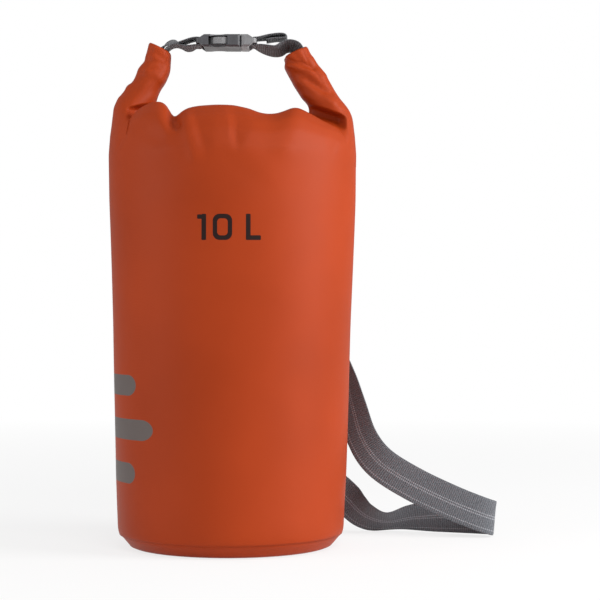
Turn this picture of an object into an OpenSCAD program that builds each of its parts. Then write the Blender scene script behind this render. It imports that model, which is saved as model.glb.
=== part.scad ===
// Roll-top dry bag with a side-release buckle and a shoulder strap.
// Millimetres, +Z up. Origin: centre of the base's flat underside. The front faces -Y.

/* [Body] */
// Diameter of the round base
base_d = 190; // [120:1:300]
// Height of the two humps of fabric beside the roll
body_h = 366; // [260:1:600]
// Fabric thickness of the tube, the base and the roll
wall = 1.2; // [0.8:0.1:2]
// Height of the base panel's turned-up welded edge
base_rim_h = 13; // [9:0.5:30]

/* [Closure] */
// Height of the buckle's middle above the floor
buckle_z = 425; // [300:1:660]
// Half the depth of the rolled mouth
roll_half_y = 17; // [15:0.5:22]
// Half the height of the rolled mouth
roll_half_z = 11; // [9:0.5:14]
// Width of the closure webbing
closure_w = 25; // [20:0.5:25]
// Thickness of all webbing
web_t = 1.6; // [1.2:0.1:2]

/* [Buckle] */
// Width of the buckle, front to back
buckle_w = 34; // [34:0.5:40]
// Thickness of the buckle
buckle_t = 10.5; // [9.5:0.1:13]

/* [Strap] */
// Width of the shoulder strap
strap_w = 30; // [20:0.5:31]
// How far the bar of the upper ring hangs below the top of the tube
ring_drop = 66; // [40:1:120]
// Height of the lower ring's bar
ring_low_z = 40; // [35:1:80]
// Radius of the D-rings, to the middle of the wire
ring_r = 14; // [14:0.5:18]
// Wire radius of the D-rings
ring_wire = 1.5; // [1.2:0.1:1.6]
// Rest angle of the upper ring, out from the back
ring_tilt = 25; // [20:1:40]

/* [Hidden] */
$fn = 48;
SIDES = 40;
fabric = "#C84E2A";
dark = "#4A4A4C";
light = "#8C8C8C";
webbing = "#5F6064";
kb = base_d / 190;
kh = body_h / 366;
// top: height that the roll, its ends and the buckle are moved up with the humps
top = body_h - 366;
ring_up_z = body_h - ring_drop;
bz = buckle_z + top;
// tube stations: height, half width, half depth, dip at the two ends, squareness
STATIONS = [
  [5, 91.2, 91.2, 0, 1],
  [8.5, 93.1, 93.1, 0, 1],
  [base_rim_h - 0.5, 93.6, 93.6, 0, 1],
  [base_rim_h + 3, 95.2, 95, 0, 1],
  [60 * kh, 97.5, 92.5, 0, 1],
  [186 * kh, 100.5, 89.4, 0, 1],
  [330 + top, 104.7, 84.8, 0, 1],
  [345 + top, 103.5, 79, 6, 0.97],
  [356 + top, 100.5, 69, 12.5, 0.92],
  [364 + top, 97, 55, 19.5, 0.85],
  [366 + top, 93, 42, 23.5, 0.78],
  [361.5 + top, 89.5, 28, 21.5, 0.68],
  [354 + top, 87, 18.1, 16.5, 0.6],
  [347 + top, 85.5, 15.6, 12, 0.55]
];

function half_x(z) = kb * lookup(z, [for (s = [for (k = [3:6]) STATIONS[k]]) [s[0], s[1]]]);
function half_y(z) = kb * lookup(z, [for (s = [for (k = [3:6]) STATIONS[k]]) [s[0], s[2]]]);
function scale_of(k) = k < 9 ? kb : 1 + (kb - 1) * (13 - k) / 5;
function xs(k) = STATIONS[k][1] * kb;
function ys(k) = STATIONS[k][2] * scale_of(k);
function zs(k) = STATIONS[k][0];
function power(v, e) = sign(v) * pow(abs(v), e);
function unit(v) = v / norm(v);
function lerp(a, b, t) = a + (b - a) * t;

// one ring of the tube's outer face
function outer_ring(k) = [
  for (i = [0:SIDES - 1])
    let (c = cos(360 * i / SIDES), s = sin(360 * i / SIDES), e = STATIONS[k][4])
      [xs(k) * power(c, e), ys(k) * power(s, e), zs(k) - STATIONS[k][3] * pow(abs(c), 2.5)]
];

// the matching ring of its inner face, one wall further in along the profile's normal
function inner_ring(k) =
  let (
    a = max(k - 1, 0),
    b = min(k + 1, len(STATIONS) - 1),
    ty = unit([ys(b) - ys(a), zs(b) - zs(a)]),
    tx = unit([xs(b) - xs(a), zs(b) - zs(a) - STATIONS[b][3] + STATIONS[a][3]])
  )
  [
    for (i = [0:SIDES - 1])
      let (
        c = cos(360 * i / SIDES),
        s = sin(360 * i / SIDES),
        e = STATIONS[k][4],
        m = pow(abs(c), 2.5),
        nz = -ty[0] * (1 - m) - tx[0] * m
      )
        [
          (xs(k) - wall * tx[1]) * power(c, e),
          (ys(k) - wall * ty[1]) * power(s, e),
          zs(k) - STATIONS[k][3] * m - wall * nz
        ]
  ];

// a closed skin over a loop of rings, the last one joined to the first
module loop_skin(rings) {
  m = len(rings);
  n = len(rings[0]);
  polyhedron(
    points = [for (r = rings) each r],
    faces = [
      for (k = [0:m - 1], i = [0:n - 1])
        let (j = (i + 1) % n, q = (k + 1) % m)
          each [[k * n + i, q * n + j, k * n + j], [k * n + i, q * n + i, q * n + j]]
    ],
    convexity = 6
  );
}

// a skin over a row of rings whose points are paired first to last, with flat ribbon ends
module ribbon_skin(rings) {
  m = len(rings);
  n = len(rings[0]);
  h = n / 2;
  polyhedron(
    points = [for (r = rings) each r],
    faces = concat(
      [
        for (k = [0:m - 2], i = [0:n - 1])
          let (j = (i + 1) % n)
            each [[k * n + i, (k + 1) * n + j, k * n + j], [k * n + i, (k + 1) * n + i, (k + 1) * n + j]]
      ],
      [for (i = [0:h - 2]) each [[i, i + 1, n - 2 - i], [i, n - 2 - i, n - 1 - i]]],
      [
        for (i = [0:h - 2])
          let (o = (m - 1) * n)
            each [[o + i, o + n - 2 - i, o + i + 1], [o + i, o + n - 1 - i, o + n - 2 - i]]
      ]
    ),
    convexity = 8
  );
}

// a spiral strip: half sizes a and b outside, a1 and b1 at its inner end
function spiral(a, b, a1, b1, turns, per, t, e) =
  let (n = round(turns * per))
  concat(
    [
      for (i = [0:n])
        let (q = i / n, w = 360 * i / per)
          [lerp(a, a1, q) * power(cos(w), e), lerp(b, b1, q) * power(sin(w), e)]
    ],
    [
      for (i = [n:-1:0])
        let (q = i / n, w = 360 * i / per)
          [(lerp(a, a1, q) - t) * power(cos(w), e), (lerp(b, b1, q) - t) * power(sin(w), e)]
    ]
  );

// smooth points through a row of points, m steps to a span
function catmull(p, m) = [
  for (k = [0:len(p) - 2], j = [0:(k == len(p) - 2 ? m : m - 1)])
    let (
      t = j / m,
      a = p[max(k - 1, 0)],
      b = p[k],
      c = p[k + 1],
      d = p[min(k + 2, len(p) - 1)]
    )
      0.5 * (2 * b + (c - a) * t + (2 * a - 5 * b + 4 * c - d) * t * t + (3 * b - a - 3 * c + d) * t * t * t)
];

// a flat strip of thickness t along a row of points in a plane
function strip_outline(p, t) =
  let (
    n = len(p),
    d = [for (i = [0:n - 1]) unit(p[min(i + 1, n - 1)] - p[max(i - 1, 0)])]
  )
  concat(
    [for (i = [0:n - 1]) p[i] + t / 2 * [-d[i][1], d[i][0]]],
    [for (i = [n - 1:-1:0]) p[i] - t / 2 * [-d[i][1], d[i][0]]]
  );

// a shape drawn in X and Z, given a depth w along Y
module across_y(w) {
  translate([0, w / 2, 0]) rotate([90, 0, 0]) linear_extrude(w) children();
}

// a shape drawn in Y and Z, given a width w along X
module across_x(w) {
  translate([-w / 2, 0, 0]) rotate([90, 0, 90]) linear_extrude(w) children();
}

// a plate with round corners, x0 to x1, w wide and h high, centred on z = 0
module plate(x0, x1, w, h, r) {
  translate([x0 + r, -w / 2, -h / 2]) cube([x1 - x0 - 2 * r, w, h]);
  translate([x0, -w / 2 + r, -h / 2]) cube([x1 - x0, w - 2 * r, h]);
  for (x = [x0 + r, x1 - r], y = [-w / 2 + r, w / 2 - r])
    translate([x, y, -h / 2]) cylinder(r = r, h = h);
}

// the buckle's bevelled cross-section
module bevelled(w, h, c) {
  polygon([
    [-w / 2, -h / 2 + c], [-w / 2 + c, -h / 2], [w / 2 - c, -h / 2], [w / 2, -h / 2 + c],
    [w / 2, h / 2 - c], [w / 2 - c, h / 2], [-w / 2 + c, h / 2], [-w / 2, h / 2 - c]
  ]);
}

// ---- bag

module body_tube() {
  last = len(STATIONS) - 1;
  color(fabric) loop_skin(concat(
    [for (k = [0:last]) outer_ring(k)],
    [for (k = [last:-1:0]) inner_ring(k)]
  ));
}

module base_panel() {
  r = base_d / 2 + 0.3;
  c = 11.3;
  color(fabric) rotate_extrude($fn = 96) polygon(concat(
    [[0, 0]],
    [for (w = [0:15:90]) [r - c + c * sin(w), c - c * cos(w)]],
    [[r, base_rim_h], [r - wall, base_rim_h]],
    [for (w = [90:-15:0]) [r - c + (c - wall) * sin(w), c - (c - wall) * cos(w)]],
    [[0, wall]]
  ));
}

roll_z = 354 + top;
roll_x = 72.6 * kb;

module mouth_roll() {
  color(fabric) translate([0, 0, roll_z]) across_x(2 * roll_x)
    polygon(spiral(roll_half_y, roll_half_z, roll_half_y - 5.4, roll_half_z - 7.8, 3, 24, wall - 0.1, 0.9));
}

module mouth_stiffener() {
  color("#222222") translate([0, 0, roll_z]) cube([2 * roll_x - 1, 2 * roll_half_y - 17, 1.2], center = true);
}

// a roll end: middle line in X and Z, its half thickness, and the way it runs
END_LEFT = [
  [[-73.4, 354.6], 10.8, [-1, 0.05]], [[-79.5, 357.6], 11.6, [-0.85, 0.5]], [[-83.2, 364], 12.6, [-0.3, 0.95]],
  [[-82.6, 371], 13.8, [0.3, 0.95]], [[-79, 378.6], 14.2, [0.5, 0.86]], [[-74.4, 386], 13.8, [0.6, 0.8]],
  [[-69, 393.6], 13, [0.52, 0.85]], [[-65, 402], 12, [0.38, 0.92]], [[-62.2, 411], 11.2, [0.38, 0.92]],
  [[-60, 419], 10.5, [0.46, 0.89]]
];
END_RIGHT = [
  [[73.4, 354.6], 10.8, [1, 0.05]], [[79.5, 357.6], 11.6, [0.85, 0.5]], [[83, 364], 12.6, [0.3, 0.95]],
  [[81.6, 371], 13.8, [-0.4, 0.92]], [[77, 378.2], 14.4, [-0.6, 0.8]], [[71.6, 386], 14.2, [-0.6, 0.8]],
  [[66.5, 393.5], 13.6, [-0.5, 0.86]], [[62, 401], 12.8, [-0.45, 0.89]], [[58.4, 408], 12, [-0.46, 0.89]],
  [[55.4, 414.5], 11.4, [-0.51, 0.86]]
];

module roll_end(row, side) {
  shift = side * (kb - 1) * 72;
  ribbon_skin([
    for (s = row)
      let (
        d = unit(s[2]),
        u = [d[1] * -side, 0, -d[0] * -side],
        c = [s[0][0] + shift, 0, s[0][1] + top]
      )
        [for (p = spiral(s[1], roll_half_y, s[1] - 3, roll_half_y - 2.2, 1.5, 20, wall - 0.1, 0.62)) c + p[0] * u + [0, p[1] * side, 0]]
  ]);
}

module roll_end_left() {
  color(fabric) roll_end(END_LEFT, -1);
}

module roll_end_right() {
  color(fabric) roll_end(END_RIGHT, 1);
}

// ---- closure webbing

WEB_LEFT = [
  [-67, 404], [-65, 410], [-63, 416.4], [-58.6, 423.4], [-52.4, 427.4], [-43, 427.4], [-35, 428], [-30, 428.1],
  [-27, 428.1], [-25.2, 427.5], [-24.4, 426], [-24.4, 424], [-25.2, 422.5], [-27, 421.9], [-30, 421.9],
  [-36, 421.2], [-43, 421.8], [-50, 421.4], [-55.4, 418.8], [-58.8, 414.6], [-60.6, 409.6], [-62.2, 403.6]
];
WEB_RIGHT = [
  [60, 402], [57.4, 409], [54, 415.6], [49.5, 420.6], [43.5, 422], [36, 420.8], [29, 421.6], [22.5, 421.9],
  [20, 421.9], [18.2, 422.5], [17.4, 424], [17.4, 426], [18.2, 427.5], [20, 428.1], [24, 428.1], [31, 428.8],
  [39, 429.8], [44.6, 429.6], [46.6, 427.8], [44.4, 426], [38, 425.4], [30, 425]
];

function moved(p, side) = [
  for (q = p)
    [q[0] + side * max(0, min(1, (abs(q[0]) - 30) / 24)) * (kb - 1) * 72, q[1] - 425 + bz]
];

module webbing_left() {
  color(webbing) across_y(closure_w) polygon(strip_outline(catmull(moved(WEB_LEFT, -1), 3), web_t));
}

module webbing_right() {
  color(webbing) across_y(closure_w) polygon(strip_outline(catmull(moved(WEB_RIGHT, 1), 3), web_t));
}

// ---- side-release buckle, drawn about its own middle

cav = buckle_w / 2 - 3.7;
arm_y = 9.3;
arm_x = 9.8;
BLEND = 1.6;

module buckle_socket() {
  color(dark) translate([0, 0, bz]) difference() {
    intersection() {
      plate(-29, 8.5, buckle_w, buckle_t, 3);
      across_x(80) bevelled(buckle_w, buckle_t, BLEND);
      across_y(60) polygon([
        [-29, -1.9], [-26.4, -2], [-22, -buckle_t / 2], [8.5, -buckle_t / 2],
        [8.5, buckle_t / 2], [-22, buckle_t / 2], [-26.4, 2], [-29, 1.9]
      ]);
    }
    // webbing slot, which leaves the bar
    translate([-26.4, -closure_w / 2 - 0.5, -10]) cube([4, closure_w + 1, 20]);
    // throat that takes the plug's guide and arms
    translate([-19, -cav, -3.25]) cube([30, 2 * cav, 6.5]);
    // side windows
    translate([-18.4, -30, -3.5]) cube([15.9, 60, 7]);
    for (x = [-18.4, -2.5]) translate([x, 0, -3.5]) cylinder(r = 0.01 + 0.9, h = 7);
    // thumb scoops over and under the windows
    for (s = [-1, 1], y = [-buckle_w / 2 - 4, buckle_w / 2 + 4])
      translate([-10.5, y, s * buckle_t / 2 - 1.6]) cylinder(r = 8.5, h = 3.2);
    // mouth flare
    translate([7.3, -cav - 0.7, -3.8]) cube([2, 2 * cav + 1.4, 7.6]);
  }
}

module buckle_plug() {
  color(light) translate([0, 0, bz]) {
    difference() {
      intersection() {
        plate(8.8, 22, buckle_w, buckle_t, 3.4);
        across_x(80) bevelled(buckle_w, buckle_t, BLEND);
        across_y(60) polygon([
          [8.8, -buckle_t / 2], [14.6, -buckle_t / 2], [19.3, -2], [22, -1.9],
          [22, 1.9], [19.3, 2], [14.6, buckle_t / 2], [8.8, buckle_t / 2]
        ]);
      }
      translate([15.5, -closure_w / 2 - 0.5, -10]) cube([3.8, closure_w + 1, 20]);
      // sockets that the arms' roots bend in
      for (s = [-1, 1]) {
        translate([arm_x, s * arm_y, -3.1]) cylinder(r = 1.9, h = 6.2);
        translate([8, s * arm_y - 2.5, -3.1]) cube([1.9, 5, 6.2]);
      }
    }
    // centre guide with its two ribs
    translate([-13, -3, -1.5]) cube([22.5, 6, 3]);
    translate([-15, 0, 0]) intersection() {
      translate([0, -3, -1.5]) cube([4, 6, 3]);
      translate([3, 0, -3]) cylinder(r = 3, h = 6);
    }
    translate([-13, -0.9, -2.9]) cube([22.5, 1.8, 5.8]);
  }
}

// one arm: a beam from its root, then the sprung head with a square shoulder behind it
module latch_arm(s) {
  color(light) translate([0, 0, bz]) {
    translate([arm_x, s * arm_y, -2.8]) cylinder(r = 1.6, h = 5.6);
    translate([0, 0, -2.8]) linear_extrude(5.6) difference() {
      polygon([
        [arm_x, s * (arm_y - 1.2)], [arm_x, s * (arm_y + 1.2)], [-1, s * (arm_y + 2.1)], [-2.9, s * (arm_y + 2.2)],
        [-2.9, s * (cav + 1.9)], [-4.2, s * (cav + 3)], [-7, s * (cav + 3.5)], [-11, s * (cav + 3.4)],
        [-14.4, s * (cav + 1.8)], [-16.8, s * (cav - 0.8)], [-17.9, s * (arm_y + 0.6)],
        [-17.6, s * (arm_y - 0.9)], [-15, s * (arm_y - 1.1)], [-2, s * (arm_y - 0.2)]
      ]);
      polygon([
        [-5, s * (arm_y + 2.2)], [-5, s * (cav + 0.9)], [-7.4, s * (cav + 1.6)], [-11, s * (cav + 1.5)],
        [-13.6, s * (cav - 0.4)], [-14.4, s * (arm_y + 1.2)], [-12, s * (arm_y + 1)]
      ]);
    }
  }
}

module latch_arm_front() {
  latch_arm(-1);
}

module latch_arm_back() {
  latch_arm(1);
}

// ---- strap fittings, drawn hanging down -Z from a ring whose bar runs along X, +Y away from the bag

ring_up_y = half_y(ring_up_z) + wall + 3.8;
ring_low_y = half_y(ring_low_z - 18) + wall + 3.9;
ring_low_x = 12;
HANG = 46.3;
up_y = ring_up_y + ring_r * sin(ring_tilt);
up_z = ring_up_z - ring_r * cos(ring_tilt);
low_x = ring_low_x + ring_r;

module at_upper() {
  translate([0, ring_up_y, ring_up_z]) children();
}

module at_upper_hook() {
  translate([0, up_y, up_z]) children();
}

module at_lower() {
  translate([ring_low_x, ring_low_y, ring_low_z]) rotate([0, -90, 0]) children();
}

module at_lower_hook() {
  translate([low_x, ring_low_y, ring_low_z]) rotate([0, -90, 0]) children();
}

// a patch that follows the curve of the back, between two angles and two heights
module patch(a0, a1, z0, z1) {
  n = 8;
  m = 4;
  function at(i, j, off) =
    let (w = lerp(a0, a1, i / n), z = lerp(z0, z1, j / m))
      [(half_x(z) + off) * cos(w), (half_y(z) + off) * sin(w), z];
  ribbon_skin([
    for (j = [0:m])
      concat([for (i = [0:n]) at(n - i, j, 0.3)], [for (i = [0:n]) at(i, j, 0.3 + wall)])
  ]);
}

module tab() {
  across_x(closure_w - 2) difference() {
    polygon([
      [-3.2, 28], [-3.2, -1.6], [-1.6, -3.2], [1.6, -3.2], [3.2, -1.6], [3.2, 3], [-0.1, 9.5], [-0.1, 28]
    ]);
    polygon([[-1.8, -1], [-1, -1.8], [1, -1.8], [1.8, -1], [1.8, 2.6], [-1.6, 8.8], [-1.8, 8.4]]);
  }
}

module d_ring() {
  rotate([0, 90, 0]) cylinder(r = ring_wire, h = 2 * ring_r, center = true);
  rotate([90, 0, 0]) rotate([0, 0, 180]) rotate_extrude(angle = 180) translate([ring_r, 0]) circle(r = ring_wire);
  for (x = [-ring_r, ring_r]) translate([x, 0, 0]) sphere(r = ring_wire);
}

// the hook's arch goes over the ring's wire at the origin
module hook() {
  difference() {
    union() {
      across_x(4.5) difference() {
        polygon([
          [-6.5, -14], [-4.4, -17], [4.4, -17], [6.5, -14], [6.5, 1], [5.2, 3.6], [2.6, 5],
          [-2.6, 5], [-5.2, 3.6], [-6.5, 1]
        ]);
        polygon([[-3.3, -12], [3.3, -12], [3.3, 0.2], [2, 2.1], [-2, 2.1], [-3.3, 0.2]]);
        polygon([[3, -10.6], [8, -10.6], [8, -1], [3, -1]]);
      }
      translate([0, 0, -17]) cylinder(r = 4.3, h = 5);
    }
    translate([0, 0, -18]) cylinder(r = 2.1, h = 8);
  }
}

module hook_gate() {
  rotate([0, 90, 0]) translate([9, 4.9, 0]) cylinder(r = 1.2, h = 4.2, center = true);
  across_x(4.2) polygon([[3.75, -9], [6.1, -9], [6.1, -2.2], [5.2, -1.3], [3.75, -1.3]]);
}

module hook_eye() {
  translate([0, 0, -23]) cylinder(r = 1.8, h = 11.6);
  translate([0, 0, -11.7]) cylinder(r = 2.9, h = 1.2);
  translate([0, 0, -23.4]) cylinder(r = 3.8, h = 6.1);
  across_y(3.6) difference() {
    polygon([
      [-strap_w / 2 - 2.5, -28], [-strap_w / 2 - 1.5, -29], [strap_w / 2 + 1.5, -29], [strap_w / 2 + 2.5, -28],
      [strap_w / 2 + 2.5, -22.5], [strap_w / 2 + 1, -21], [-strap_w / 2 - 1, -21], [-strap_w / 2 - 2.5, -22.5]
    ]);
    polygon([
      [-strap_w / 2 - 0.5, -27], [strap_w / 2 + 0.5, -27], [strap_w / 2 + 0.5, -23.4], [-strap_w / 2 - 0.5, -23.4]
    ]);
  }
}

module strap_loop() {
  across_x(strap_w) difference() {
    polygon([
      [-3.7, -25.9], [-2.9, -25.1], [2.9, -25.1], [3.7, -25.9], [3.7, -31], [1.7, -37], [1.7, -46],
      [-1.7, -46], [-1.7, -37], [-3.7, -31]
    ]);
    polygon([[-2.1, -26.7], [2.1, -26.7], [2.1, -30.6], [0, -35.5], [-2.1, -30.6]]);
  }
}

module anchor_patch_upper() {
  color(fabric) patch(75, 105, ring_up_z - 8, ring_up_z + 29);
}

module anchor_patch_lower() {
  color(fabric) patch(83, 108, ring_low_z - 18, ring_low_z + 18);
}

module anchor_tab_upper() {
  color(webbing) at_upper() tab();
}

module anchor_tab_lower() {
  color(webbing) at_lower() tab();
}

module d_ring_upper() {
  color(dark) at_upper() rotate([ring_tilt, 0, 0]) d_ring();
}

module d_ring_lower() {
  color(dark) at_lower() d_ring();
}

module hook_upper() {
  color(dark) at_upper_hook() hook();
}

module hook_lower() {
  color(dark) at_lower_hook() hook();
}

module hook_gate_upper() {
  color(dark) at_upper_hook() hook_gate();
}

module hook_gate_lower() {
  color(dark) at_lower_hook() hook_gate();
}

module hook_eye_upper() {
  color(dark) at_upper_hook() hook_eye();
}

module hook_eye_lower() {
  color(dark) at_lower_hook() hook_eye();
}

module strap_loop_upper() {
  color(webbing) at_upper_hook() strap_loop();
}

module strap_loop_lower() {
  color(webbing) at_lower_hook() strap_loop();
}

// three-bar slider: outer bars on one face of the strap, middle bar on the other
module strap_slider() {
  color(dark) translate([0, up_y, up_z - HANG - 24]) {
    for (x = [-strap_w / 2 - 2.2, strap_w / 2 + 2.2])
      translate([x, 0, 0]) cube([3, 6, 20], center = true);
    for (z = [-8.7, 8.7]) translate([0, 2.2, z]) cube([strap_w + 4, 1.8, 2.6], center = true);
    translate([0, -2.2, 0]) cube([strap_w + 4, 1.8, 3], center = true);
  }
}

// strap route: middle point, and the way its width lies
ROUTE = [
  [[0, up_y, up_z - HANG], [1, 0, 0]],
  [[0, up_y, up_z - HANG - 20], [1, 0, 0]],
  [[0, up_y, up_z - HANG - 37], [1, 0, 0]],
  [[0, up_y, up_z - HANG - 47], [1, 0, 0.02]],
  [[15, 101, 184], [0.8, 0, 0.6]],
  [[40, 104, 176], [0.5, -0.1, 0.86]],
  [[68, 98, 169], [0.4, -0.3, 0.86]],
  [[92, 82, 158], [0.35, -0.5, 0.8]],
  [[105, 68, 138], [0.2, -0.85, 0.5]],
  [[110, 58, 112], [0.45, -0.8, 0.4]],
  [[115, 52, 86], [0.75, -0.55, 0.37]],
  [[128, 49, 63], [0.7, -0.2, 0.68]],
  [[156, 45, 45], [0.45, 0, 0.9]],
  [[190, 41, 27], [0.3, 0, 0.95]],
  [[215, 40, 18], [0.1, 0, 1]],
  [[227, 45, 15.8], [0, 0, 1]],
  [[226, 55, 15.6], [0, 0, 1]],
  [[208, 62, 15.6], [0, 0.1, 1]],
  [[180, 69, 15], [0, 0.35, 0.94]],
  [[152, 74, 13.6], [0, 0.55, 0.83]],
  [[128, 70, 13.6], [0, 0.6, 0.8]],
  [[113, 79, 21], [0, 0.4, 0.92]],
  [[102, 92, 32], [0, 0.1, 1]],
  [[low_x + HANG + 16, ring_low_y, ring_low_z], [0, 0, 1]],
  [[low_x + HANG + 8, ring_low_y, ring_low_z], [0, 0, 1]],
  [[low_x + HANG, ring_low_y, ring_low_z], [0, 0, 1]]
];
// the points above this height keep their share of the way from it to the strap's straight run
strap_bend_z = 63;
k_strap = (ring_up_z - 170) / 130;
function follow(p, k) = k < 4 || k > len(ROUTE) - 4 ? p :
  [p[0] * kb, p[1] * kb, k < 11 ? strap_bend_z + (p[2] - strap_bend_z) * k_strap : p[2]];

module shoulder_strap() {
  mid = catmull([for (k = [0:len(ROUTE) - 1]) follow(ROUTE[k][0], k)], 3);
  way = catmull([for (r = ROUTE) r[1]], 3);
  n = len(mid);
  color(webbing) ribbon_skin([
    for (i = [0:n - 1])
      let (
        d = unit(mid[min(i + 1, n - 1)] - mid[max(i - 1, 0)]),
        w = unit(way[i] - (way[i] * d) * d),
        t = cross(d, w),
        a = w * strap_w / 2,
        b = t * web_t / 2
      )
        [mid[i] - a - b, mid[i] + a - b, mid[i] + a + b, mid[i] - a + b]
  ]);
}

body_tube();
base_panel();
mouth_roll();
mouth_stiffener();
roll_end_left();
roll_end_right();
webbing_left();
webbing_right();
buckle_socket();
buckle_plug();
latch_arm_front();
latch_arm_back();
anchor_patch_upper();
anchor_tab_upper();
d_ring_upper();
hook_upper();
hook_gate_upper();
hook_eye_upper();
strap_loop_upper();
anchor_patch_lower();
anchor_tab_lower();
d_ring_lower();
hook_lower();
hook_gate_lower();
hook_eye_lower();
strap_loop_lower();
strap_slider();
shoulder_strap();
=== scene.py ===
"""Roll-top dry bag: a coated-fabric tube with its mouth rolled down, clipped into a carrying loop, and a shoulder
strap."""
import math

import bmesh
import bpy
import numpy as np
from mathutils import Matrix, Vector


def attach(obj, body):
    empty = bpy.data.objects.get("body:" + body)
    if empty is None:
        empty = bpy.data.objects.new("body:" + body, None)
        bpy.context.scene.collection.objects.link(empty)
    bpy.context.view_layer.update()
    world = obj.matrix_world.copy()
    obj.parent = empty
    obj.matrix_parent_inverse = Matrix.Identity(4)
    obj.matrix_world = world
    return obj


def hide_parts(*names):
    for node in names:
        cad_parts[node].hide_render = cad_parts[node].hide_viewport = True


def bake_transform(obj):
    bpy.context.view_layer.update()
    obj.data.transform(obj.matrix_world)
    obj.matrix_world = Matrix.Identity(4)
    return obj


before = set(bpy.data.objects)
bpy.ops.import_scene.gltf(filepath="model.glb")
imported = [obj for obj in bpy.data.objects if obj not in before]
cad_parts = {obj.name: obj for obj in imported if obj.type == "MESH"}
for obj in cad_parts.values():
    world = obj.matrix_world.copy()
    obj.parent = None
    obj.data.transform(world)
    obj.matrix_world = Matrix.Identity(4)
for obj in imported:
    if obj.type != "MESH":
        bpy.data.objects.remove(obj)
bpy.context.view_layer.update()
MM = 0.001

# widths and thicknesses of the soft pieces, in mm
STRAP_WIDTH, STRAP_THICK = 30.0, 1.7
CLOSURE_WIDTH, CLOSURE_THICK = 25.0, 1.6
TAB_WIDTH, BAND_THICK = 23.0, 1.45
FABRIC_THICK = 1.0


# ---------------------------------------------------------------- camera

def studio_camera():
    """A long lens at half the bag's height, level, with the bag left of the middle."""
    data = bpy.data.cameras.new("studio_camera")
    data.lens = 106.1
    data.sensor_width = 36.0
    data.clip_start, data.clip_end = 0.05, 30
    cam = bpy.data.objects.new("studio_camera", data)
    bpy.context.scene.collection.objects.link(cam)
    cam.location = (0.0585, -1.5, 0.207)
    cam.rotation_euler = (math.radians(90), 0, 0)
    bpy.context.scene.camera = cam


studio_camera()


# ---------------------------------------------------------------- shapes as arrays

def unit(v):
    """Each row of v divided by its own length."""
    return v / np.maximum(np.linalg.norm(v, axis=-1, keepdims=True), 1e-12)


def power(v, e):
    """|v| to the power e, with v's own sign."""
    return np.sign(v) * np.abs(v) ** e


def step(v, lo, hi):
    """0 below lo, 1 above hi, and 3t^2 - 2t^3 between them."""
    t = np.clip((v - lo) / (hi - lo), 0, 1)
    return t * t * (3 - 2 * t)


def catmull(points, m):
    """m points to each span of a Catmull-Rom curve through the rows of points: half of 2b + (c-a)t +
    (2a-5b+4c-d)t^2 + (3b-a-3c+d)t^3."""
    p = np.asarray(points, float)
    k = np.arange(len(p) - 1)
    a, b, c, d = p[np.maximum(k - 1, 0)], p[k], p[k + 1], p[np.minimum(k + 2, len(p) - 1)]
    t = (np.arange(m) / m)[None, :, None]
    a, b, c, d = (x[:, None, :] for x in (a, b, c, d))
    q = 0.5 * (2 * b + (c - a) * t + (2 * a - 5 * b + 4 * c - d) * t ** 2 + (3 * b - a - 3 * c + d) * t ** 3)
    return np.vstack([q.reshape(-1, p.shape[1]), p[-1:]])


def along(path):
    """Distance along a row of points, from 0."""
    return np.concatenate([[0], np.cumsum(np.linalg.norm(np.diff(path, axis=0), axis=1))])


def soft_rows(rows, count, reach):
    """Rows of numbers spread evenly along their first two columns' path, each then averaged with its neighbours
    under a bell of the given reach, so that corners round off and nothing overshoots."""
    rows = np.asarray(rows, float)
    s = along(rows[:, :2])
    fine = np.linspace(0, s[-1], count)
    out = np.stack([np.interp(fine, s, rows[:, k]) for k in range(rows.shape[1])], axis=1)
    n = max(1, int(round(2.5 * reach / (fine[1] - fine[0]))))
    bell = np.exp(-0.5 * (np.arange(-n, n + 1) * (fine[1] - fine[0]) / reach) ** 2)
    pad = np.vstack([2 * out[:1] - out[n:0:-1], out, 2 * out[-1:] - out[-2:-n - 2:-1]])
    return np.stack([np.convolve(pad[:, k], bell / bell.sum(), "valid") for k in range(out.shape[1])], axis=1)


def grid_faces(nu, nv, wrap_u, wrap_v):
    """Corner numbers of a grid's quads: (i, j), (i+1, j), (i+1, j+1), (i, j+1)."""
    i, j = np.meshgrid(np.arange(nu if wrap_u else nu - 1), np.arange(nv if wrap_v else nv - 1), indexing="ij")
    i, j = i.ravel(), j.ravel()
    a, b = (i + 1) % nu, (j + 1) % nv
    return np.stack([i * nv + j, a * nv + j, a * nv + b, i * nv + b], axis=1)


def make_piece(name, verts, faces, material, attributes=None):
    """Puts arrays of points (in mm) and of equal-sided faces into a mesh object at the origin, smooth shaded."""
    mesh = bpy.data.meshes.new(name)
    verts = np.asarray(verts, float).reshape(-1, 3) * MM
    faces = np.asarray(faces)
    k = faces.shape[1]
    mesh.vertices.add(len(verts))
    mesh.vertices.foreach_set("co", verts.astype(np.float32).ravel())
    mesh.loops.add(faces.size)
    mesh.loops.foreach_set("vertex_index", faces.ravel().astype(np.int32))
    mesh.polygons.add(len(faces))
    mesh.polygons.foreach_set("loop_start", (np.arange(len(faces)) * k).astype(np.int32))
    mesh.update(calc_edges=True)
    mesh.validate()
    mesh.polygons.foreach_set("use_smooth", np.ones(len(mesh.polygons), bool))
    for key, values in (attributes or {}).items():
        layer = mesh.attributes.new(key, "FLOAT_VECTOR", "POINT")
        layer.data.foreach_set("vector", np.asarray(values, np.float32).ravel())
    mesh.materials.append(material)
    obj = bpy.data.objects.new(name, mesh)
    bpy.context.scene.collection.objects.link(obj)
    return obj


def merged(piece):
    """Joins a piece's doubled points, and points its faces outwards."""
    bm = bmesh.new()
    bm.from_mesh(piece.data)
    bmesh.ops.remove_doubles(bm, verts=bm.verts, dist=1e-6)
    bmesh.ops.recalc_face_normals(bm, faces=bm.faces)
    bm.to_mesh(piece.data)
    bm.free()
    return piece


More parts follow.
